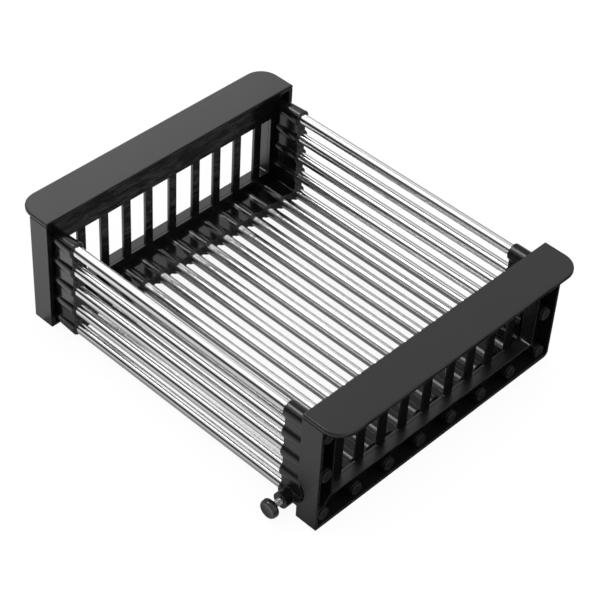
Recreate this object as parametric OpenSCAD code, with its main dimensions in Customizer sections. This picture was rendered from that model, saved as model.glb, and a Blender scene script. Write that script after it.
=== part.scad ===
// Extendable drain basket that hangs in a sink bowl by the flanges of its two end plates.
// A U-shaped cradle of steel tubes is fixed to the left plate. Every second tube holds a
// thinner rod that is fixed to the right plate, so the basket draws out to the bowl's width.
// X runs along the rods, Y along the plates and Z up from the feet of the plates.

/* [Overall] */
// Length of each end plate
plate_length = 200; // [180:1:260]
// Height of each end plate, from its foot to the top of its flange
plate_height = 80; // [78:1:110]
// Width of the closed basket over both flanges
closed_width = 258; // [254:1:320]

/* [Flange] */
// Width of the flange, over the wall below it and beyond
flange_width = 27.3; // [24:0.1:34]
// Thickness of the flange
flange_thickness = 3; // [2.4:0.1:4]
// Radius of the flange's rounded edge
flange_edge_radius = 1; // [0.5:0.1:1.1]
// Radius of the flange's two outer corners, seen from above
flange_corner_radius = 13; // [6:0.5:20]

/* [End plate] */
// Depth of the perimeter wall along the rods
wall_depth = 14.7; // [14:0.1:20]
// Thickness of the side walls around the pocket
side_wall = 3; // [2:0.1:3.1]
// Thickness of the bottom wall around the pocket
bottom_wall = 2.2; // [1.5:0.1:2.3]
// Thickness of the side and bottom walls at the outer rim
rim_wall = 1.8; // [1.2:0.1:2.2]
// Radius of the frame's bottom corner at the far end
foot_corner_radius = 3.5; // [2.5:0.1:5]
// Radius of the frame's bottom corner at the near end, by the lock screw
near_corner_radius = 0.8; // [0.4:0.1:1.2]
// Depth of the pocket in front of the web
pocket_depth = 3.1; // [2.5:0.1:4]
// Thickness of the web
web_thickness = 2; // [1.5:0.1:3]

/* [Window] */
// Distance of the window from the plate's ends
window_margin = 15; // [13:0.1:25]
// Height of the window's sill over the foot
window_sill = 16.2; // [15:0.1:20]
// Distance of the window's head below the top of the flange
window_head = 21; // [12:0.1:30]
// Thickness of the collar round the window
collar_wall = 1.2; // [1:0.1:2]
// Distance from the outer rim back to the collar's edge
collar_setback = 2.9; // [1.8:0.1:4]
// Window bars on each side of the middle bar
bar_pairs = 4; // [2:1:4]
// Width of a window bar
bar_width = 5.7; // [3:0.1:6]
// Gap between the last bar and the window's end
end_gap = 9.55; // [6:0.05:14]
// Gap on each side of the middle bar
middle_gap = 13.8; // [9:0.1:15]
// Offset of the bars along the plate, to the far end in the left plate
bar_offset = 1; // [0:0.1:1.5]

/* [Finger notch] */
// Radius of the notch in the right plate's near wall
notch_radius = 9.7; // [6:0.1:11]
// Depth of the notch from the wall's inner edge
notch_depth = 5; // [3:0.1:8]
// Height of the notch's centre over the foot
notch_height = 20; // [14:0.1:60]

/* [Rods] */
// Tubes along the bottom of the cradle
bottom_tubes = 15; // [9:2:15]
// Tubes up each side, above the corner tube
side_tubes = 4; // [2:2:4]
// Distance of the highest tubes' axes below the top of the flange
top_tube_drop = 13.15; // [12:0.05:16]
// Distance of the outermost tubes from the plate's ends
tube_side_inset = 7.6; // [7.6:0.1:9]
// Height of the bottom tubes' axes over the foot
tube_height = 6.85; // [6.8:0.05:8]
// Outer diameter of a tube
tube_diameter = 7; // [6.4:0.1:7.2]
// Wall thickness of a tube
tube_wall = 0.7; // [0.5:0.1:0.9]
// Gap behind the rods' inner ends when the basket is closed
rod_tail_gap = 10.2; // [1:0.1:30]

/* [Sockets] */
// Length of the block that holds the tubes, from the left plate's web
block_length = 20.5; // [17:0.1:26]
// Length of the guide at the tubes' free ends
guide_length = 16.5; // [14:0.1:20]
// Radius of a socket at its mouth
lobe_radius = 5.3; // [4.9:0.1:5.6]
// Radius of a socket at its root, inside the left plate
lobe_root_radius = 4.5; // [4.3:0.1:4.6]
// Radius of the rounded edge at a socket's mouth
lobe_edge_radius = 1; // [0.5:0.1:1.2]
// Thickness of the strip between the sockets
strip_thickness = 6.4; // [4:0.1:8]
// Distance of the strip's end behind the sockets' mouths
strip_setback = 0.8; // [0.4:0.1:2]
// Thickness of a socket's floor
socket_floor = 2; // [1.5:0.1:3]

/* [Screws] */
// Diameter of the bosses behind the web
boss_diameter = 9; // [8.2:0.1:9.4]
// Distance from the outer rim back to the bosses' ends
boss_setback = 2.3; // [1.8:0.1:4]
// Diameter of a fixing screw's shank
screw_diameter = 3; // [2.5:0.1:3.2]
// Diameter of a fixing screw's head
screw_head_diameter = 8; // [5.6:0.1:8.2]
// Height of a fixing screw's head
screw_head_height = 1.2; // [1:0.1:1.8]
// Length of thread in a rod or in a tube's plug
thread_length = 8; // [6:0.5:9]
// Thickness of the diagonal ribs at the corner bosses
rib_thickness = 1.6; // [1:0.1:2.5]
// Distance of the ribs' edges behind the collar's edge
rib_setback = 0.4; // [0.2:0.1:2]

/* [Lock screw] */
// Diameter of the lock screw's boss on the guide
lock_boss_diameter = 10; // [9.6:0.1:11]
// Reach of that boss past the plate's near end
lock_boss_reach = 2.7; // [1.5:0.1:4]
// Diameter of the lock screw's shank
lock_diameter = 4; // [3:0.1:4.4]
// Wall of the threaded bush in the boss
insert_wall = 0.9; // [0.6:0.1:1.1]
// Bare length of the shank between boss and knob
lock_bare_length = 6.3; // [4:0.1:10]
// Diameter of the knob
knob_diameter = 12; // [10:0.1:16]
// Diameter of the knob's front face
knob_front_diameter = 11.2; // [8:0.1:11.6]
// Thickness of the knob
knob_thickness = 3.9; // [3.5:0.1:7]
// Radius of the knob's rounded edges
knob_edge_radius = 0.9; // [0.4:0.1:1]

/* [Clearances] */
// Radial clearance of a rod in its tube
slide_clearance = 0.07; // [0.03:0.01:0.1]
// Clearance round a piece that is pushed into its seat
seat_clearance = 0.05; // [0.02:0.01:0.1]
// Gap that is left between halves that pass or meet
free_gap = 0.3; // [0.3:0.05:0.6]

/* [Hidden] */
$fn = 64;
overrun = 1;

plate_half = plate_length / 2;
outer_x = closed_width / 2;
inner_x = outer_x - flange_width;
rim_x = inner_x + wall_depth;
web_x = inner_x + pocket_depth;
web_mid_x = web_x + web_thickness / 2;
web_back_x = web_x + web_thickness;
collar_x = rim_x - collar_setback;
boss_x = rim_x - boss_setback;
flange_z = plate_height - flange_thickness;

window_half = plate_half - window_margin;
window_top = plate_height - window_head;
first_bar_y = middle_gap + bar_width;
last_bar_y = window_half - end_gap - bar_width / 2;
bar_pitch = (last_bar_y - first_bar_y) / (bar_pairs - 1);

tube_radius = tube_diameter / 2;
bore_radius = tube_radius - tube_wall;
rod_radius = bore_radius - slide_clearance;
socket_radius = tube_radius + seat_clearance;
screw_radius = screw_diameter / 2;
screw_hole_radius = screw_radius + seat_clearance;
boss_radius = boss_diameter / 2;
head_radius = screw_head_diameter / 2;

tube_span_half = plate_half - tube_side_inset;
bottom_pitch = 2 * tube_span_half / (bottom_tubes - 1);
side_pitch = (plate_height - top_tube_drop - tube_height) / side_tubes;
line_count = bottom_tubes + 2 * side_tubes;

mouth_x = web_x - block_length;
socket_floor_x = web_x - socket_floor;
guide_x = inner_x - free_gap;
guide_mouth_x = guide_x - guide_length;
guide_floor_x = guide_x - socket_floor;
rod_start_x = thread_length - socket_floor_x + rod_tail_gap;
rod_end_x = boss_x - socket_floor;

lock_place_share = 0.35;
lock_x = guide_mouth_x + lock_boss_diameter / 2
    + (guide_length - lock_boss_diameter) * lock_place_share;
lock_radius = lock_diameter / 2;
lock_tip_y = tube_span_half + rod_radius + free_gap;
lock_boss_end_y = plate_half + lock_boss_reach;
insert_radius = lock_radius + insert_wall;
insert_end_y = lock_boss_end_y - socket_floor;
insert_start_y = tube_span_half + tube_radius + free_gap;
knob_back_y = lock_boss_end_y + lock_bare_length;
knob_front_y = knob_back_y + knob_thickness;
knob_socket_share = 0.6;
knob_socket_depth = knob_thickness * knob_socket_share;

// The knob is the only piece past the plates' ends, so the middle of the whole lies off the
// middle of the plates by half its reach.
centre_y = (knob_front_y - plate_half) / 2;

// The tubes are numbered along the U, from the top of the near side to the top of the far side.
function line_y(k) =
    k < side_tubes ? -tube_span_half
    : k < side_tubes + bottom_tubes ? -tube_span_half + (k - side_tubes) * bottom_pitch
    : tube_span_half;
function line_z(k) =
    tube_height
    + max(0, side_tubes - k, k - side_tubes - bottom_tubes + 1) * side_pitch;

tube_lines = [for (k = [0:line_count - 1]) k];
rod_lines = [for (k = [0:2:line_count - 1]) k];

// Sets the children in the frame whose origin is under the middle of the whole.
module place() {
    translate([0, centre_y, 0]) children();
}

// Turns a child drawn in (Y, Z) into a slab from x0 to x1.
module slab_x(x0, x1) {
    translate([x0, 0, 0]) rotate([90, 0, 90]) linear_extrude(x1 - x0) children();
}

// A cylinder along +X from x0 to x1.
module rod_x(radius, x0, x1) {
    translate([x0, 0, 0]) rotate([0, 90, 0]) cylinder(r = radius, h = x1 - x0);
}

// A cylinder along -Y from y0 to y1, both measured outwards.
module rod_y(radius, y0, y1) {
    translate([0, -y0, 0]) rotate([90, 0, 0]) cylinder(r = radius, h = y1 - y0);
}

module at_line(k) {
    translate([0, line_y(k), line_z(k)]) children();
}

// Outline of the frame in (Y, Z), from the given insets up to the flange.
module frame_outline(side_inset, bottom_inset, far_corner) {
    half = plate_half - side_inset;
    near_corner = near_corner_radius;
    polygon([
        [-half, flange_z],
        [-half, bottom_inset + near_corner],
        [near_corner - half, bottom_inset],
        [half - far_corner, bottom_inset],
        [half, bottom_inset + far_corner],
        [half, flange_z],
    ]);
    translate([near_corner - half, bottom_inset + near_corner]) circle(near_corner);
    translate([half - far_corner, bottom_inset + far_corner]) circle(far_corner);
}

// Section of the flange's edge: a slab of the given reach whose end is rounded above and below.
module flange_section(reach) {
    square([reach - flange_edge_radius, flange_thickness]);
    translate([0, flange_edge_radius])
        square([reach, flange_thickness - 2 * flange_edge_radius]);
    for (z = [flange_edge_radius, flange_thickness - flange_edge_radius]) {
        translate([reach - flange_edge_radius, z]) circle(flange_edge_radius);
    }
}

// The section runs round the near end, the outer edge and the far end of the flange.
module flange() {
    corner = flange_corner_radius;
    core_x = outer_x - corner;
    core_half = plate_half - corner;
    translate([0, 0, flange_z]) {
        translate([inner_x, -core_half, 0])
            cube([core_x - inner_x, 2 * core_half, flange_thickness]);
        translate([core_x, core_half, 0]) rotate([90, 0, 0])
            linear_extrude(2 * core_half) flange_section(corner);
        for (side = [-1, 1]) {
            translate([core_x, side * core_half, 0])
                rotate([0, 0, side < 0 ? -90 : 0])
                rotate_extrude(angle = 90) flange_section(corner);
            mirror([0, side < 0 ? 1 : 0, 0])
                translate([inner_x, core_half, 0]) rotate([90, 0, 90])
                linear_extrude(core_x - inner_x) flange_section(corner);
        }
    }
}

module window_outline(grow) {
    translate([-window_half - grow, window_sill - grow])
        square([2 * (window_half + grow), window_top - window_sill + 2 * grow]);
}

// Vertical bars across the window, with a wider gap on each side of the middle one. The right
// plate is the left one turned by half a turn, so its bars are offset the other way.
module bars(shift) {
    offsets = [for (i = [1:bar_pairs]) first_bar_y + (i - 1) * bar_pitch];
    for (y = concat([0], offsets, -offsets)) {
        translate([web_x, y + shift - bar_width / 2, window_sill - collar_wall])
            cube([web_thickness, bar_width, window_top - window_sill + 2 * collar_wall]);
    }
}

// Rib from the boss at the corner of the frame to the corner of the window's collar.
module corner_rib(side) {
    rise = window_sill - collar_wall - tube_height;
    run = tube_span_half - window_half - collar_wall;
    translate([web_mid_x, side * tube_span_half, tube_height])
        rotate([atan2(rise, -side * run), 0, 0])
        translate([0, 0, -rib_thickness / 2])
        cube([collar_x - web_mid_x - rib_setback,
              norm([run, rise]) + rib_thickness / 2, rib_thickness]);
}

// The web's upper edge, thinner than the web, set into the flange's underside.
module flange_root() {
    half = plate_half - flange_corner_radius;
    foot_z = window_top + collar_wall;
    translate([web_x + web_thickness / 4, -half, foot_z])
        cube([web_thickness / 2, 2 * half, flange_z + flange_thickness / 2 - foot_z]);
}

// One end plate with its flange outwards along +X. The notch is only in the right one.
module end_plate(with_notch, rod_sockets, bar_shift) {
    difference() {
        union() {
            flange();
            flange_root();
            difference() {
                slab_x(inner_x, rim_x) frame_outline(0, 0, foot_corner_radius);
                slab_x(inner_x - overrun, web_x)
                    frame_outline(side_wall, bottom_wall, foot_corner_radius - bottom_wall);
                slab_x(web_back_x, rim_x + overrun)
                    frame_outline(rim_wall, rim_wall, foot_corner_radius - rim_wall);
                slab_x(inner_x, rim_x) window_outline(0);
            }
            difference() {
                slab_x(web_mid_x, collar_x) window_outline(collar_wall);
                slab_x(inner_x, rim_x) window_outline(0);
            }
            bars(bar_shift);
            for (k = rod_lines) {
                at_line(k) rod_x(boss_radius, web_mid_x, boss_x);
            }
            for (side = [-1, 1]) corner_rib(side);
        }
        for (k = rod_lines) {
            at_line(k) rod_x(screw_hole_radius, inner_x, rim_x + overrun);
            if (rod_sockets) at_line(k) rod_x(rod_radius + seat_clearance, inner_x, rod_end_x);
        }
        if (with_notch) {
            translate([inner_x + notch_depth - notch_radius, 0, notch_height])
                rod_y(notch_radius, plate_half - side_wall, plate_half + overrun);
        }
    }
}

module left_plate() {
    color("#1d1e20") place() mirror([1, 0, 0]) end_plate(false, false, bar_offset);
}

module right_plate() {
    color("#1d1e20") place() end_plate(true, true, -bar_offset);
}

// A socket's outer form, flared from its root to its mouth, along -X from x1 to x0.
module lobe(root_radius, x0, x1, round_root) {
    length = x1 - x0;
    edge = lobe_edge_radius;
    translate([x1, 0, 0]) rotate([0, -90, 0]) rotate_extrude() {
        polygon([
            [0, 0],
            [root_radius - (round_root ? edge : 0), 0],
            [root_radius, round_root ? edge : 0],
            [lobe_radius, length - edge],
            [lobe_radius - edge, length],
            [0, length],
        ]);
        for (corner = concat([[lobe_radius - edge, length - edge]],
                             round_root ? [[root_radius - edge, edge]] : [])) {
            translate(corner) circle(edge);
        }
    }
}

// The strip that joins the sockets, along the bottom and up both sides.
module strip(x0, x1) {
    half = strip_thickness / 2;
    top = line_z(0);
    translate([x0, -tube_span_half, tube_height - half])
        cube([x1 - x0, 2 * tube_span_half, strip_thickness]);
    for (side = [-1, 1]) {
        translate([x0, side * tube_span_half - half, tube_height])
            cube([x1 - x0, strip_thickness, top - tube_height]);
    }
}

// Scalloped U of sockets in the left plate. It is drawn at the right and mirrored.
module socket_block() {
    color("#17181a") place() mirror([1, 0, 0]) difference() {
        union() {
            strip(mouth_x + strip_setback, web_x);
            for (k = tube_lines) {
                at_line(k) {
                    lobe(lobe_root_radius, mouth_x, inner_x, false);
                    rod_x(lobe_root_radius, inner_x, web_x);
                }
            }
        }
        for (k = tube_lines) {
            at_line(k) rod_x(socket_radius, mouth_x - overrun, socket_floor_x);
        }
        for (k = rod_lines) {
            at_line(k) rod_x(screw_hole_radius, socket_floor_x - overrun, web_x + overrun);
        }
    }
}

// Scalloped U on the tubes' free ends, where the rods come out, with the lock screw's boss.
module guide_block() {
    color("#17181a") place() difference() {
        union() {
            strip(guide_mouth_x + strip_setback, guide_x);
            for (k = tube_lines) {
                at_line(k) lobe(lobe_radius, guide_mouth_x, guide_x, true);
            }
            translate([lock_x, 0, tube_height])
                rod_y(lock_boss_diameter / 2, tube_span_half, lock_boss_end_y);
        }
        for (k = tube_lines) {
            at_line(k) rod_x(socket_radius, guide_mouth_x - overrun, guide_floor_x);
        }
        for (k = rod_lines) {
            at_line(k)
                rod_x(rod_radius + slide_clearance, guide_floor_x - overrun, guide_x + overrun);
        }
        translate([lock_x, 0, tube_height]) {
            rod_y(insert_radius + seat_clearance, tube_span_half, insert_end_y);
            rod_y(lock_radius + seat_clearance, tube_span_half, lock_boss_end_y + overrun);
        }
    }
}

// A tube. One that holds a rod has a threaded plug in its left end, and the corner tube by the
// lock screw has a hole for the screw's tip.
module tube(k) {
    color("#c9ccd0") place() difference() {
        at_line(k) rod_x(tube_radius, -socket_floor_x, guide_floor_x);
        at_line(k) rod_x(bore_radius,
            k % 2 == 0 ? thread_length - socket_floor_x : -socket_floor_x - overrun,
            guide_floor_x + overrun);
        at_line(k) rod_x(screw_hole_radius, -socket_floor_x - overrun, guide_x);
        if (k == side_tubes) {
            translate([lock_x, 0, tube_height])
                rod_y(lock_radius + free_gap, tube_span_half, plate_half);
        }
    }
}

// A rod, tapped at its right end for its screw.
module rod(k) {
    color("#b9bcc0") place() at_line(k) difference() {
        rod_x(rod_radius, rod_start_x, rod_end_x);
        rod_x(screw_hole_radius, rod_end_x - thread_length - overrun, rod_end_x + overrun);
    }
}

// A flat-headed screw along X whose head stands outwards on the boss.
module fixing_screw(tip_x) {
    edge = screw_head_height / 4;
    difference() {
        union() {
            rod_x(screw_radius, tip_x, boss_x + edge);
            translate([boss_x, 0, 0]) rotate([0, 90, 0]) rotate_extrude() {
                square([head_radius, screw_head_height - edge]);
                square([head_radius - edge, screw_head_height]);
                translate([head_radius - edge, screw_head_height - edge]) circle(edge);
            }
        }
        for (turn = [0, 90]) {
            translate([boss_x + screw_head_height / 2, 0, 0]) rotate([turn, 0, 0])
                translate([0, -head_radius / 2, -edge / 2])
                cube([screw_head_height, head_radius, edge]);
        }
    }
}

module rod_screw(k) {
    color("#202124") place() at_line(k) fixing_screw(rod_end_x - thread_length);
}

// The screws that hold the left plate, the socket block and the tubes together.
module tube_screws() {
    color("#202124") place() mirror([1, 0, 0]) for (k = rod_lines) {
        at_line(k) fixing_screw(socket_floor_x - thread_length + free_gap);
    }
}

// Threaded bush in the lock screw's boss.
module lock_insert() {
    color("#b58a3c") place() translate([lock_x, 0, tube_height]) difference() {
        rod_y(insert_radius, insert_start_y, insert_end_y);
        rod_y(lock_radius + seat_clearance, tube_span_half, lock_boss_end_y);
    }
}

module lock_shank() {
    color("#c9ccd0") place() translate([lock_x, 0, tube_height])
        rod_y(lock_radius, lock_tip_y, knob_back_y + knob_socket_depth);
}

// Knob of the lock screw: largest at its back, with rounded edges and a hollow for the shank.
module lock_knob() {
    back_radius = knob_diameter / 2;
    front_radius = knob_front_diameter / 2;
    edge = knob_edge_radius;
    color("#17181a") place() translate([lock_x, -knob_back_y, tube_height])
        rotate([90, 0, 0]) rotate_extrude() difference() {
            union() {
                polygon([
                    [0, 0],
                    [back_radius - edge, 0],
                    [back_radius, edge],
                    [front_radius, knob_thickness - edge],
                    [front_radius - edge, knob_thickness],
                    [0, knob_thickness],
                ]);
                translate([back_radius - edge, edge]) circle(edge);
                translate([front_radius - edge, knob_thickness - edge]) circle(edge);
            }
            translate([-knob_diameter, -overrun])
                square([knob_diameter + lock_radius + seat_clearance,
                        overrun + knob_socket_depth + seat_clearance]);
        }
}

left_plate();
socket_block();
right_plate();
guide_block();
for (k = tube_lines) {
    tube(k);
}
for (k = rod_lines) {
    rod(k);
    rod_screw(k);
}
tube_screws();
lock_insert();
lock_shank();
lock_knob();
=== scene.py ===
"""Looks for an extendable drain basket: moulded end plates, scalloped socket blocks, polished
tubes and rods, fixing screws and a lock screw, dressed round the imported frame."""

import math

import bmesh
import bpy
from mathutils import Matrix, Vector


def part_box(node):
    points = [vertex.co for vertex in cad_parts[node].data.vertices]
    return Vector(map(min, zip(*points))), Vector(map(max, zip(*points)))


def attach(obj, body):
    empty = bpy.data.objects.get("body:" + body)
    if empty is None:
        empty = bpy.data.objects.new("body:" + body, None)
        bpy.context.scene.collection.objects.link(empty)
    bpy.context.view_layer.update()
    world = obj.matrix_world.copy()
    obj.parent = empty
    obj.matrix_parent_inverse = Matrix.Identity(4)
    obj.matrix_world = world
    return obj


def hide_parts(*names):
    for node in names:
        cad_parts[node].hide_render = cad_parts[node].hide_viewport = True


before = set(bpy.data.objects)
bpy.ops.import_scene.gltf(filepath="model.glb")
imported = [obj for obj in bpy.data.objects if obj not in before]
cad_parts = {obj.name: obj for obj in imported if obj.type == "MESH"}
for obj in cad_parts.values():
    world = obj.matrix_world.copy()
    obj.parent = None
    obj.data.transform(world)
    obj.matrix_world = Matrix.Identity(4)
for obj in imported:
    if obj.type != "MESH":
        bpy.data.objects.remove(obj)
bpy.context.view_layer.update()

bl_info = {
    "name": "Extendable Drain Basket",
    "version": (1, 0, 0),
    "blender": (4, 5, 0),
    "location": "View3D > Sidebar > Basket",
    "description": "Dresses the frame of an extendable drain basket for a sink",
    "category": "Add Mesh",
}

MM = 0.001
WELD = 0.01 * MM
WHITE = (1.0, 1.0, 1.0, 1.0)
BLACK = (0.0, 0.0, 0.0, 1.0)

TUBES = sorted((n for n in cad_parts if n.startswith("tube_") and n[5:].isdigit()),
               key=lambda n: int(n[5:]))
RODS = sorted((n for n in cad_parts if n.startswith("rod_") and n[4:].isdigit()),
              key=lambda n: int(n[4:]))
ROD_SCREWS = [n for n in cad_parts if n.startswith("rod_screw_")]

# Sizes of the noises in the finishes.
CLOUD = 30 * MM
GRAIN = 0.4 * MM
RIPPLE = 12 * MM
SWIRL = 4.5 * MM
RING = 0.3 * MM
HAZE = 20 * MM
WEAR = 1.2 * MM
TARNISH = 2 * MM

# The end plates: their flange, and where their window is.
FLANGE = 3 * MM
JOINT_REACH = 90 * MM
JOINT_TOP = 62 * MM
WINDOW_MARGIN = 15 * MM
WINDOW_SILL = 16.2 * MM
WINDOW_HEAD = 59 * MM
COLLAR_START = 106.6 * MM
COLLAR_END = 113.4 * MM
CORNER_STEPS = 8
BURIED = 0.3 * MM

# The distance from the basket's middle at which a socket block's inner side faces fully inwards.
BLOCK_REACH = 80 * MM

TUBE_WALL = 0.7 * MM
ROD_RIM = 0.5 * MM

# The lock screw. The knob's outline is in mm in from a rim, and in mm from the face by that rim.
KNOB_BORE_GAP = 0.05 * MM
KNOB_TAPER = 0.93
KNOB_BACK = ((0.8, 0.0), (0.25, 0.2), (0.0, 0.75), (0.1, 1.3))
KNOB_FRONT = ((-0.25, 1.1), (0.0, 0.6), (0.25, 0.15), (0.8, 0.0), (1.2, 0.1), (1.7, 0.3))
KNOB_DISH = 0.35 * MM
THREAD_PITCH = 0.7 * MM
THREAD_DEPTH = 0.35 * MM
THREAD_START = 0.4 * MM
THREAD_ENDS = 1.0 * MM
THREAD_CREST = (0.4, 0.55)

# Cards that only reflections see: foot, upward direction, width, height, strength and levels of
# grey from foot to top. The strip light overhead draws the bright line along each tube and socket.
# The left light brightens the left plate's top. The reflector and the panel lie on the floor by
# the left plate, for its end wall and its sockets. The dark flags in front and behind draw the
# black lines.
CARDS = {
    "strip_light": ((-0.735, 0.1, 1.4), (0.0, -0.956, -0.292), 0.8, 1.0, 10.0,
                    ((0.0, 0.12), (0.13, 0.12), (0.2, 1.0), (0.5, 1.0), (0.57, 0.12),
                     (1.0, 0.12))),
    "left_light": ((-0.64, 0.05, 0.49), (0.0, 1.0, 0.0), 0.44, 0.6, 2.7,
                   ((0.0, 1.0), (1.0, 1.0))),
    "left_reflector": ((-0.19, -0.25, 0.001), (0.0, 1.0, 0.0), 0.16, 0.157, 1.3,
                       ((0.0, 1.0), (0.75, 1.0), (1.0, 0.7))),
    "left_panel": ((-0.195, -0.08, 0.001), (0.0, 1.0, 0.0), 0.13, 0.22, 1.8,
                   ((0.0, 1.0), (1.0, 1.0))),
    "front_flag": ((-0.5, -0.75, 0.0), (0.0, 0.0, 1.0), 2.4, 0.64, 1.0,
                   ((0.0, 0.4), (0.25, 0.15), (0.5, 0.03), (1.0, 0.03))),
    "back_flag": ((-0.4, 1.0, 0.0), (0.0, 0.0, 1.0), 2.4, 0.5, 1.0,
                  ((0.0, 0.35), (0.5, 0.35), (1.0, 1.0))),
}

FLOOR_SIZE = 8.0
FLOOR_GLOW = 1.03
SENSOR_WIDTH = 36.0


class Flow:
    """A socket of a node tree that Python's operators work on, each one adding its Math node."""

    def __init__(self, tree, socket):
        self.tree = tree
        self.socket = socket

    def math(self, operation, *others, swap=False):
        node = self.tree.nodes.new("ShaderNodeMath")
        node.operation = operation
        values = [self, *others]
        if swap:
            values.reverse()
        for slot, value in zip(node.inputs, values):
            wire(self.tree, slot, value)
        return Flow(self.tree, node.outputs[0])

    def __add__(self, other):
        return self.math("ADD", other)

    def __sub__(self, other):
        return self.math("SUBTRACT", other)

    def __mul__(self, other):
        return self.math("MULTIPLY", other)

    def __rsub__(self, other):
        return self.math("SUBTRACT", other, swap=True)

    def __abs__(self):
        return self.math("ABSOLUTE")

    __radd__ = __add__
    __rmul__ = __mul__


def wire(tree, slot, value):
    """Gives a node's socket a link or a plain value."""
    if isinstance(value, Flow):
        tree.links.new(value.socket, slot)
    else:
        slot.default_value = value


class Finish:
    """A material under construction: node() adds any node and returns its output."""

    def __init__(self, name):
        self.material = bpy.data.materials.new(name)
        self.material.use_nodes = True
        self.tree = self.material.node_tree
        self.tree.nodes.clear()

    def node(self, kind, settings=None, inputs=None, output=0):
        node = self.tree.nodes.new(kind)
        for key, value in (settings or {}).items():
            if key == "stops":
                ramp = node.color_ramp.elements
                while len(ramp) < len(value):
                    ramp.new(1.0)
                for stop, (place, level) in zip(ramp, value):
                    stop.position = place
                    stop.color = grey(level)
            else:
                setattr(node, key, value)
        for key, value in (inputs or {}).items():
            wire(self.tree, node.inputs[key], value)
        if output is not None:
            return Flow(self.tree, node.outputs[output])

    def noise(self, size, detail=3.0, stretch=(1.0, 1.0, 1.0)):
        """A noise with features of a size, in the object's own space."""
        coordinates = self.node("ShaderNodeTexCoord", output="Object")
        place = self.node("ShaderNodeMapping", inputs={"Vector": coordinates, "Scale": stretch})
        return self.node("ShaderNodeTexNoise", inputs={
            "Vector": place, "Scale": 1.0 / size, "Detail": detail}, output="Fac")

    def levels(self, value, low, high):
        """A value from 0 to 1 as one from low to high."""
        return self.node("ShaderNodeMapRange", inputs={
            "Value": value, "To Min": low, "To Max": high})

    def step(self, value, start, end):
        """A soft step: 0 below its start and 1 past its end."""
        return self.node("ShaderNodeMapRange", {"interpolation_type": "SMOOTHSTEP"}, {
            "Value": value, "From Min": start, "From Max": end})

    def axis(self, vector, output):
        return self.node("ShaderNodeSeparateXYZ", inputs={"Vector": vector}, output=output)

    def blend_colours(self, factor, first, second):
        return self.node("ShaderNodeMix", {"data_type": "RGBA"}, {0: factor, 6: first, 7: second},
                         output=2)

    def bump(self, height, strength, distance, normal=None):
        inputs = {"Height": height, "Strength": strength, "Distance": distance}
        if normal:
            inputs["Normal"] = normal
        return self.node("ShaderNodeBump", inputs=inputs, output="Normal")

    def shader(self, **inputs):
        return self.node("ShaderNodeBsdfPrincipled", inputs={
            key.replace("_", " "): value for key, value in inputs.items()})

    def close(self, shader):
        """Ends the material with its shader."""
        self.node("ShaderNodeOutputMaterial", inputs={"Surface": shader}, output=None)
        return self.material


def grey(level):
    return (level, level, level, 1.0)


class Plastic(Finish):
    """Black moulded plastic with a fine grain, glossy at its rounded edges."""

    def __init__(self, name, looks):
        super().__init__(name)
        self.looks = looks
        self.cloud = self.noise(CLOUD, 2.0)
        self.ripple = self.noise(RIPPLE, 1.0)
        self.normal = self.node("ShaderNodeNewGeometry", output="Normal")
        self.place = self.node("ShaderNodeTexCoord", output="Object")
        low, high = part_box("left_plate")
        self.aside = self.axis(self.place, "Y") - (low.y + high.y) / 2

    def rounding(self, radius):
        """The surface's normal with its edges rounded to a radius."""
        return self.node("ShaderNodeBevel", {"samples": 8}, {"Radius": radius})

    def mould(self, edge, rough, wave, level, joint_and_painted_shade):
        """Ends the material: shiny plastic, with a share of matt black that carries dark joint
        lines and painted shade.
        """
        flat = self.node("ShaderNodeVectorMath", {"operation": "DOT_PRODUCT"},
                         {0: edge, 1: self.normal}, output="Value")
        rounded = 1.0 - self.step(flat, 0.9, 0.995)
        rough = rough + rounded * (self.looks.gloss - rough)
        grain = self.noise(GRAIN, 2.0)
        colour = self.blend_colours(self.cloud, grey(self.looks.level * 0.8),
                                    grey(self.looks.level * 1.2))
        shine = self.shader(
            Base_Color=colour, Roughness=rough, Specular_IOR_Level=level,
            Normal=self.bump(grain * 0.03 + wave, 0.25, 0.2 * MM, edge))
        matt = self.shader(Base_Color=grey(0.002), Roughness=0.9, Specular_IOR_Level=0.05)
        return self.close(self.node("ShaderNodeMixShader", inputs={0: joint_and_painted_shade, 1: shine, 2: matt}))


def plate_plastic(looks):
    """The plates' plastic: satin, but glossy and rippled on the faces square to the rods, where a
    painted reflection ripple darkens streaks, with a fine dark line where the window's collar
    meets the web."""
    finish = Plastic("plate_plastic", looks)
    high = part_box("left_plate")[1]
    height = finish.axis(finish.place, "Z")
    flange = finish.step(height, high.z - FLANGE - 0.2 * MM, high.z - FLANGE)
    edge = finish.node("ShaderNodeMix", {"data_type": "VECTOR"}, {
        0: flange, 4: finish.rounding(looks.edge), 5: finish.rounding(looks.rim)}, output=1)
    square = finish.step(abs(finish.axis(finish.normal, "X")), 0.5, 0.9)
    rough = finish.levels(finish.cloud, looks.satin - 0.03, looks.satin + 0.03)
    rough = rough + square * (looks.web - rough)
    swirl = finish.noise(SWIRL, 1.0, stretch=(1.0, 0.3, 1.4))
    wave = finish.ripple * (0.1 + square * 0.4) + swirl * square * 9.0
    across = abs(abs(finish.axis(finish.place, "X")) - looks.joint)
    beyond = finish.step(abs(finish.aside), JOINT_REACH, JOINT_REACH + 1 * MM)
    over = finish.step(height, JOINT_TOP, JOINT_TOP + 2 * MM)
    line = 1.0 - finish.step(across, 0.1 * MM, 0.35 * MM)
    line = line * (1.0 - beyond.math("MAXIMUM", over))
    # Painted reflection ripple: matt black streaks from the swirl darken the reflections on the
    # faces square to the rods.
    painted_ripple = square * finish.step(swirl, 0.4, 0.65)
    joint_and_painted_shade = (line * 0.8).math("MAXIMUM", painted_ripple * 0.55)
    return finish.mould(edge, rough, wave, 0.41, joint_and_painted_shade)


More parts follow.
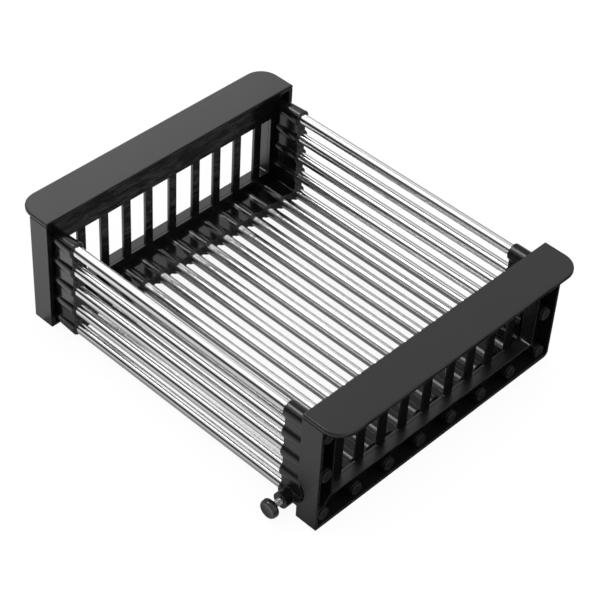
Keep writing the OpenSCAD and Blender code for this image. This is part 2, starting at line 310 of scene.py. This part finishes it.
def block_plastic(name, looks, extra=0.0):
    """The blocks' and the knob's plastic, with an extra roughness. Painted shade darkens the flats
    that face up or inwards."""
    finish = Plastic(name, looks)
    middling = looks.block + extra
    rough = finish.levels(finish.cloud, middling - 0.02, middling + 0.02)
    # Painted shade: the flats that face up, or inwards to the basket's middle, take a share of
    # matt black.
    inwards = finish.axis(finish.normal, "Y") * finish.aside * (-1 / BLOCK_REACH)
    flat = finish.axis(finish.normal, "Z").math("MAXIMUM", inwards)
    joint_and_painted_shade = finish.step(flat, 0.95, 0.975) * 0.6
    return finish.mould(finish.rounding(looks.edge), rough, finish.ripple * 0.3, 0.5, joint_and_painted_shade)


def polished_steel(name, level, roughness, rings=0.07 * MM):
    """Ground and polished steel: fine rings round the tube, which smear what it reflects along
    its length, and a trace of haze."""
    finish = Finish(name)
    ring = finish.noise(RING, 2.0, stretch=(1.0, 0.01, 0.01))
    haze = finish.noise(HAZE, 3.0)
    return finish.close(finish.shader(
        Base_Color=finish.blend_colours(haze, grey(level * 0.95), grey(level)),
        Metallic=1.0,
        Roughness=finish.levels(haze, roughness * 0.8, roughness * 1.3),
        Normal=finish.bump(ring, 1.0, rings)))


def dark_screw_steel():
    """Black oxide screws with slight wear."""
    finish = Finish("screw_black")
    wear = finish.noise(WEAR, 4.0)
    return finish.close(finish.shader(
        Base_Color=finish.blend_colours(wear, grey(0.004), grey(0.012)),
        Metallic=0.0,
        Roughness=finish.levels(wear, 0.2, 0.32),
        Normal=finish.bump(wear, 0.2, 0.03 * MM)))


def bush_brass():
    """Plain brass with a little tarnish."""
    finish = Finish("bush_brass")
    tarnish = finish.noise(TARNISH, 3.0)
    return finish.close(finish.shader(
        Base_Color=finish.blend_colours(tarnish, (0.6, 0.42, 0.16, 1.0), (0.75, 0.56, 0.27, 1.0)),
        Metallic=1.0,
        Roughness=finish.levels(tarnish, 0.25, 0.4)))


def select_only(obj):
    bpy.ops.object.select_all(action="DESELECT")
    obj.select_set(True)
    bpy.context.view_layer.objects.active = obj


def open_edit(obj):
    """Opens a piece in edit mode with nothing selected."""
    select_only(obj)
    bpy.ops.object.mode_set(mode="EDIT")
    bpy.ops.mesh.select_mode(type="VERT")
    bpy.ops.mesh.select_all(action="DESELECT")


def close_edit(degrees=None):
    """Closes edit mode, and smooths the piece but for edges that turn by more than an angle."""
    bpy.ops.object.mode_set(mode="OBJECT")
    if degrees:
        bpy.ops.object.shade_smooth_by_angle(angle=math.radians(degrees))


def choose_faces(obj, test):
    """Selects the faces whose normal passes a test, in edit mode."""
    bpy.ops.mesh.select_mode(type="FACE")
    mesh = bmesh.from_edit_mesh(obj.data)
    for face in mesh.faces:
        face.select_set(test(face.normal))
    bmesh.update_edit_mesh(obj.data)


def new_piece(name, points, edges=(), faces=()):
    """A piece that starts from points, and from the edges or faces between them."""
    mesh = bpy.data.meshes.new(name)
    mesh.from_pydata(points, edges, faces)
    obj = bpy.data.objects.new(name, mesh)
    bpy.context.scene.collection.objects.link(obj)
    return obj


def copy_piece(piece, name):
    """A copy of a piece with its own mesh."""
    twin = piece.copy()
    twin.data = piece.data.copy()
    twin.name = twin.data.name = name
    bpy.context.scene.collection.objects.link(twin)
    return twin


def settle(obj, material, body, slot, *replaced):
    """Applies a piece's place, gives it its finish and fastens it to its body."""
    select_only(obj)
    bpy.ops.object.transform_apply(location=True, rotation=True, scale=True)
    obj.data.materials.clear()
    obj.data.materials.append(material)
    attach(obj, body)
    if replaced:
        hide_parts(*replaced)


def finish_node(node, material):
    """Gives a CAD node that shows as it is its finish."""
    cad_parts[node].material_slots[0].material = material


def cylinder_between(name, low, high, sides):
    """A cylinder along X that fills a box, to be worked on."""
    bpy.ops.object.select_all(action="DESELECT")
    bpy.ops.mesh.primitive_cylinder_add(
        vertices=sides, radius=(high.z - low.z) / 2, depth=high.x - low.x,
        location=(low + high) / 2, rotation=(0, math.pi / 2, 0), end_fill_type="NGON")
    obj = bpy.context.object
    obj.name = name
    bpy.ops.object.transform_apply(location=True, rotation=True, scale=True)
    return obj


def revolved(name, profile, centre, steps, degrees):
    """A body turned about the Y direction through a centre. The profile gives radius and depth."""
    points = [Vector((centre.x + radius, centre.y - depth, centre.z)) for radius, depth in profile]
    obj = new_piece(name, points, edges=[(i, i + 1) for i in range(len(points) - 1)])
    open_edit(obj)
    bpy.ops.mesh.select_all(action="SELECT")
    bpy.ops.mesh.spin(steps=steps, angle=2 * math.pi, center=centre, axis=(0, 1, 0))
    bpy.ops.mesh.select_all(action="SELECT")
    bpy.ops.mesh.remove_doubles(threshold=WELD)
    bpy.ops.mesh.normals_make_consistent(inside=False)
    close_edit(degrees)
    return obj


class PlasticLooks(bpy.types.PropertyGroup):
    level: bpy.props.FloatProperty(
        name="Black", description="Base colour level of the moulded plastic",
        default=0.005, min=0.0, max=1.0)
    satin: bpy.props.FloatProperty(
        name="Satin", description="Roughness of the satin outer faces", default=0.36,
        min=0.05, max=1.0, subtype="FACTOR")
    gloss: bpy.props.FloatProperty(
        name="Gloss", description="Roughness of the rounded edges", default=0.14,
        min=0.02, max=1.0, subtype="FACTOR")
    web: bpy.props.FloatProperty(
        name="Web", description="Roughness of the plates' faces square to the rods",
        default=0.16, min=0.02, max=1.0, subtype="FACTOR")
    block: bpy.props.FloatProperty(
        name="Block", description="Roughness of the socket blocks and the knob",
        default=0.14, min=0.02, max=1.0, subtype="FACTOR")
    edge: bpy.props.FloatProperty(
        name="Edge", description="Radius of the moulded edges", default=0.6 * MM,
        min=0.1 * MM, max=1.5 * MM, unit="LENGTH")
    rim: bpy.props.FloatProperty(
        name="Rim", description="Radius of the flange's edges", default=1.4 * MM,
        min=0.1 * MM, max=1.5 * MM, unit="LENGTH")
    corner: bpy.props.FloatProperty(
        name="Corner", description="Radius of the hollow corners in the windows", default=1.6 * MM,
        min=0.4 * MM, max=3.0 * MM, unit="LENGTH")
    joint: bpy.props.FloatProperty(
        name="Joint", description="Distance of the line on the window's sill from the middle",
        default=106.8 * MM, min=100.0 * MM, max=112.0 * MM, unit="LENGTH")


class SteelLooks(bpy.types.PropertyGroup):
    level: bpy.props.FloatProperty(
        name="Steel", description="Base colour level of the polished steel",
        default=0.62, min=0.1, max=1.0)
    roughness: bpy.props.FloatProperty(
        name="Roughness", description="Roughness of the polished steel", default=0.04,
        min=0.01, max=1.0, subtype="FACTOR")
    sides: bpy.props.IntProperty(
        name="Sides", description="Sides of a tube's outline", default=64, min=24, max=128)


class StageLooks(bpy.types.PropertyGroup):
    floor: bpy.props.FloatProperty(
        name="Floor", description="Colour level of the floor under the basket",
        default=0.12, min=0.0, max=1.0)
    shade: bpy.props.FloatProperty(
        name="Shade", description="Share of the seen floor's white that shadows can take away",
        default=0.12, min=0.0, max=1.0)
    azimuth: bpy.props.FloatProperty(
        name="Azimuth", description="The camera's direction round the basket",
        default=math.radians(41.809), subtype="ANGLE")
    elevation: bpy.props.FloatProperty(
        name="Elevation", description="The camera's height over the horizon",
        default=math.radians(42.589), subtype="ANGLE")
    roll: bpy.props.FloatProperty(
        name="Roll", description="The camera's turn about its own axis",
        default=math.radians(3.693), subtype="ANGLE")
    distance: bpy.props.FloatProperty(
        name="Distance", description="The camera's distance from its target",
        default=1060.7 * MM, unit="LENGTH")
    target: bpy.props.FloatVectorProperty(
        name="Target", description="The point that the camera looks at",
        default=(30.8 * MM, -21.95 * MM, 67.0 * MM), unit="LENGTH")
    lens: bpy.props.FloatProperty(
        name="Lens", description="Focal length on a sensor 36 mm wide", default=113.96)


class BASKET_OT_mouldings(bpy.types.Operator):
    """Finishes the end plates and the scalloped blocks, and rounds the windows' corners"""

    bl_idname = "basket.mouldings"
    bl_label = "Plates and Blocks"

    def execute(self, context):
        looks = context.scene.basket_plastic
        plate = plate_plastic(looks)
        socket = block_plastic("socket_plastic", looks)
        finish_node("left_plate", plate)
        finish_node("right_plate", plate)
        finish_node("socket_block", socket)
        finish_node("guide_block", block_plastic("guide_plastic", looks, extra=0.14))
        low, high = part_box("left_plate")
        corners = self.window_corners(low, high, looks.corner)
        twin = copy_piece(corners, "right_window_corners")
        twin.location = (0.0, low.y + high.y, 0.0)
        twin.rotation_euler = (0.0, 0.0, math.pi)
        settle(corners, socket, "cradle", "plate_plastic")
        settle(twin, socket, "slider", "plate_plastic")
        return {"FINISHED"}

    def window_corners(self, low, high, radius):
        """The hollow roundings in the four corners of the left window's collar."""
        middle = (low.y + high.y) / 2
        half = (high.y - low.y) / 2 - WINDOW_MARGIN
        outline = [(-BURIED, -BURIED), (radius, -BURIED)]
        for step in range(CORNER_STEPS + 1):
            angle = math.pi / 2 * step / CORNER_STEPS
            outline.append((radius * (1 - math.sin(angle)), radius * (1 - math.cos(angle))))
        outline.append((-BURIED, radius))
        count = len(outline)
        points, edges = [], []
        for z, rise in ((WINDOW_SILL, 1), (WINDOW_HEAD, -1)):
            for side in (-1, 1):
                first = len(points)
                points += [(-COLLAR_END, middle + side * (half - along), z + rise * up)
                           for along, up in outline]
                edges += [(first + i, first + (i + 1) % count) for i in range(count)]
        corners = new_piece("left_window_corners", points, edges=edges)
        open_edit(corners)
        bpy.ops.mesh.select_all(action="SELECT")
        bpy.ops.mesh.edge_face_add()
        bpy.ops.mesh.select_all(action="SELECT")
        bpy.ops.mesh.extrude_region_move(
            TRANSFORM_OT_translate={"value": (COLLAR_END - COLLAR_START, 0, 0)})
        bpy.ops.mesh.select_all(action="SELECT")
        bpy.ops.mesh.normals_make_consistent(inside=False)
        close_edit(30)
        return corners


class BASKET_OT_tubes(bpy.types.Operator):
    """Adds the polished tubes and the rods that slide in them"""

    bl_idname = "basket.tubes"
    bl_label = "Tubes and Rods"

    def execute(self, context):
        looks = context.scene.basket_steel
        tube_steel = polished_steel("tube_steel", looks.level, looks.roughness)
        rod_steel = polished_steel("rod_steel", looks.level, looks.roughness)
        tube = self.first_piece(TUBES[0], "_sleeve", looks.sides, TUBE_WALL, True)
        self.lay(tube, TUBES, "_sleeve", tube_steel, "cradle", "tube_steel")
        rod = self.first_piece(RODS[0], "_slider", looks.sides, ROD_RIM, False)
        self.lay(rod, RODS, "_slider", rod_steel, "slider", "rod_steel")
        return {"FINISHED"}

    def first_piece(self, node, ending, sides, rim, hollow):
        """The first tube or rod of a set, with a rim at its ends."""
        low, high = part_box(node)
        piece = cylinder_between(node + ending, low, high, sides)
        open_edit(piece)
        choose_faces(piece, lambda normal: abs(normal.x) > 0.9)
        bpy.ops.mesh.inset(thickness=rim, use_individual=True)
        if hollow:
            bpy.ops.mesh.bridge_edge_loops()
        close_edit(30)
        return piece

    def lay(self, first, nodes, ending, material, body, slot):
        """Copies the first piece of a set to the places of the others and fastens them all."""
        low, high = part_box(nodes[0])
        pieces = [first]
        for node in nodes[1:]:
            there_low, there_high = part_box(node)
            twin = copy_piece(first, node + ending)
            twin.location = (there_low + there_high - low - high) / 2
            pieces.append(twin)
        for piece, node in zip(pieces, nodes):
            settle(piece, material, body, slot, node)


class BASKET_OT_fixings(bpy.types.Operator):
    """Finishes the fixing screws and the brass bush"""

    bl_idname = "basket.fixings"
    bl_label = "Fixings"

    def execute(self, context):
        black = dark_screw_steel()
        for node in [*ROD_SCREWS, "tube_screws"]:
            finish_node(node, black)
        finish_node("lock_insert", bush_brass())
        return {"FINISHED"}


class BASKET_OT_lock_screw(bpy.types.Operator):
    """Adds the lock screw's knob and its threaded shank"""

    bl_idname = "basket.lock_screw"
    bl_label = "Lock Screw"

    def execute(self, context):
        looks = context.scene.basket_plastic
        knob_back, knob_radius, knob_depth = self.seat("lock_knob")
        shank_back, shank_radius, shank_length = self.seat("lock_shank")
        knob = self.add_knob(knob_back, knob_radius, knob_depth, shank_radius + KNOB_BORE_GAP)
        settle(knob, block_plastic("knob_plastic", looks), "lock_turn", "knob_plastic",
               "lock_knob")
        shank = self.add_shank(shank_back, shank_radius, shank_length)
        settle(shank, polished_steel("lock_steel", 0.6, 0.2, rings=0.01 * MM), "lock_feed",
               "lock_steel", "lock_shank")
        return {"FINISHED"}

    def seat(self, node):
        """The centre of a round node's back, its radius and its depth along Y."""
        low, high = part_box(node)
        back = Vector(((low.x + high.x) / 2, high.y, (low.z + high.z) / 2))
        return back, (high.z - low.z) / 2, high.y - low.y

    def add_knob(self, back, radius, depth, bore):
        """The knob, tapered to the front, with rounded rims and a dished front."""
        front = radius * KNOB_TAPER
        profile = [(bore, 0.0)]
        profile += [(radius - inset * MM, rise * MM) for inset, rise in KNOB_BACK]
        profile += [(front - inset * MM, depth - fall * MM) for inset, fall in KNOB_FRONT]
        profile.append((0.0, depth - KNOB_DISH))
        return revolved("lock_knob_moulding", profile, back, 64, 40)

    def add_shank(self, back, radius, length):
        """The shank with its rolled thread, as rings of one pitch."""
        root = radius - THREAD_DEPTH
        turns = int((length - THREAD_ENDS) / THREAD_PITCH)
        profile = [(0.0, 0.0), (root, 0.0)]
        for turn in range(turns):
            start = THREAD_START + turn * THREAD_PITCH
            profile.append((root, start))
            profile += [(radius, start + share * THREAD_PITCH) for share in THREAD_CREST]
        profile += [(root, THREAD_START + turns * THREAD_PITCH), (root, length), (0.0, length)]
        return revolved("lock_shank_thread", profile, back, 48, 25)


class BASKET_OT_stage(bpy.types.Operator):
    """Adds the floor, the lights and the camera"""

    bl_idname = "basket.stage"
    bl_label = "Stage"

    def execute(self, context):
        looks = context.scene.basket_stage
        scene = context.scene
        scene.view_settings.view_transform = "Standard"
        world = bpy.data.worlds.new("studio")
        scene.world = world
        world.use_nodes = True
        world.node_tree.nodes["Background"].inputs["Color"].default_value = WHITE
        world.node_tree.nodes["Background"].inputs["Strength"].default_value = 1.0

        bpy.ops.object.select_all(action="DESELECT")
        bpy.ops.mesh.primitive_plane_add(size=FLOOR_SIZE, location=(0, 0, 0))
        floor = bpy.context.object
        floor.name = "floor"
        floor.data.materials.append(self.paper(looks))
        for name, card in CARDS.items():
            self.card(name, *card)
        scene.camera = self.camera(looks)
        return {"FINISHED"}

    def camera(self, looks):
        """The camera, at its direction and distance from its target, with its roll."""
        back = Vector((math.sin(looks.azimuth) * math.cos(looks.elevation),
                       -math.cos(looks.azimuth) * math.cos(looks.elevation),
                       math.sin(looks.elevation)))
        right = (-back).cross(Vector((0, 0, 1))).normalized()
        up = right.cross(-back)
        turned_right = math.cos(looks.roll) * right + math.sin(looks.roll) * up
        turned_up = math.cos(looks.roll) * up - math.sin(looks.roll) * right
        data = bpy.data.cameras.new("camera")
        data.sensor_width = SENSOR_WIDTH
        data.lens = looks.lens
        camera = bpy.data.objects.new("camera", data)
        bpy.context.scene.collection.objects.link(camera)
        axes = Matrix((turned_right, turned_up, back)).transposed()
        camera.matrix_world = Matrix.Translation(
            Vector(looks.target) + back * looks.distance) @ axes.to_4x4()
        return camera

    def paper(self, looks):
        """White paper with the basket's shadow on it. For reflections a painted shadow, set by
        position, takes the paper's glow away under the basket, where little light comes: from the
        left plate on, more so towards the back and under the right plate."""
        finish = Finish("floor_paper")
        camera = finish.node("ShaderNodeLightPath", output="Is Camera Ray")
        mirror = finish.node("ShaderNodeLightPath", output="Is Glossy Ray")
        through = finish.node("ShaderNodeLightPath", output="Is Transmission Ray")
        place = finish.node("ShaderNodeTexCoord", output="Object")
        x = finish.axis(place, "X")
        # Painted shadow: masks by position take the glow away that reflections see under the
        # basket.
        under = finish.step(x, -0.165, -0.125)
        back = finish.step(finish.axis(place, "Y"), -0.15, -0.07)
        right = finish.step(x, 0.1, 0.12)
        dark = under * (0.12 + back * 0.7 + right * 0.18)
        own = finish.blend_colours(finish.noise(0.15, 2.0), grey(looks.floor),
                                   grey(looks.floor * 1.01))
        lit = camera + through + mirror * (1.0 - dark)
        return finish.close(finish.shader(
            Base_Color=finish.blend_colours(camera, own, grey(looks.shade)),
            Roughness=0.9,
            Specular_IOR_Level=0.0,
            Emission_Color=finish.blend_colours(lit, BLACK, grey(FLOOR_GLOW - looks.shade)),
            Emission_Strength=1.0))

    def card(self, name, foot, up, width, height, strength, stops):
        """A card that only reflections see, level along X, with levels of grey from its foot to
        its top."""
        corners = [Vector(foot) + Vector((width * u, 0.0, 0.0)) + Vector(up) * (height * v)
                   for u, v in ((-0.5, 0), (0.5, 0), (0.5, 1), (-0.5, 1))]
        card = new_piece(name, corners, faces=[(0, 1, 2, 3)])
        card.data.uv_layers.new(name="card")
        places = ((0, 0), (1, 0), (1, 1), (0, 1))
        for corner, place in zip(card.data.uv_layers["card"].data, places):
            corner.uv = place
        finish = Finish(name)
        share = finish.axis(finish.node("ShaderNodeUVMap", {"uv_map": "card"}), "Y")
        level = finish.node("ShaderNodeValToRGB", {"stops": stops}, {"Fac": share}, output="Color")
        card.data.materials.append(finish.close(finish.node("ShaderNodeEmission", inputs={
            "Color": level, "Strength": strength})))
        card.visible_camera = card.visible_diffuse = card.visible_shadow = False
        card.visible_transmission = False


class BASKET_PT_panel(bpy.types.Panel):
    bl_label = "Drain Basket"
    bl_idname = "BASKET_PT_panel"
    bl_space_type = "VIEW_3D"
    bl_region_type = "UI"
    bl_category = "Basket"

    def draw(self, context):
        for operator in OPERATORS:
            self.layout.operator(operator.bl_idname)


GROUPS = {
    "basket_plastic": PlasticLooks,
    "basket_steel": SteelLooks,
    "basket_stage": StageLooks,
}
OPERATORS = (
    BASKET_OT_mouldings,
    BASKET_OT_tubes,
    BASKET_OT_fixings,
    BASKET_OT_lock_screw,
    BASKET_OT_stage,
)


def register():
    for cls in (*GROUPS.values(), *OPERATORS, BASKET_PT_panel):
        bpy.utils.register_class(cls)
    for name, group in GROUPS.items():
        setattr(bpy.types.Scene, name, bpy.props.PointerProperty(type=group))


def unregister():
    for name in GROUPS:
        delattr(bpy.types.Scene, name)
    for cls in reversed((*GROUPS.values(), *OPERATORS, BASKET_PT_panel)):
        bpy.utils.unregister_class(cls)


def main():
    register()
    bpy.ops.basket.mouldings()
    bpy.ops.basket.tubes()
    bpy.ops.basket.fixings()
    bpy.ops.basket.lock_screw()
    bpy.ops.basket.stage()


if __name__ == "__main__":
    main()
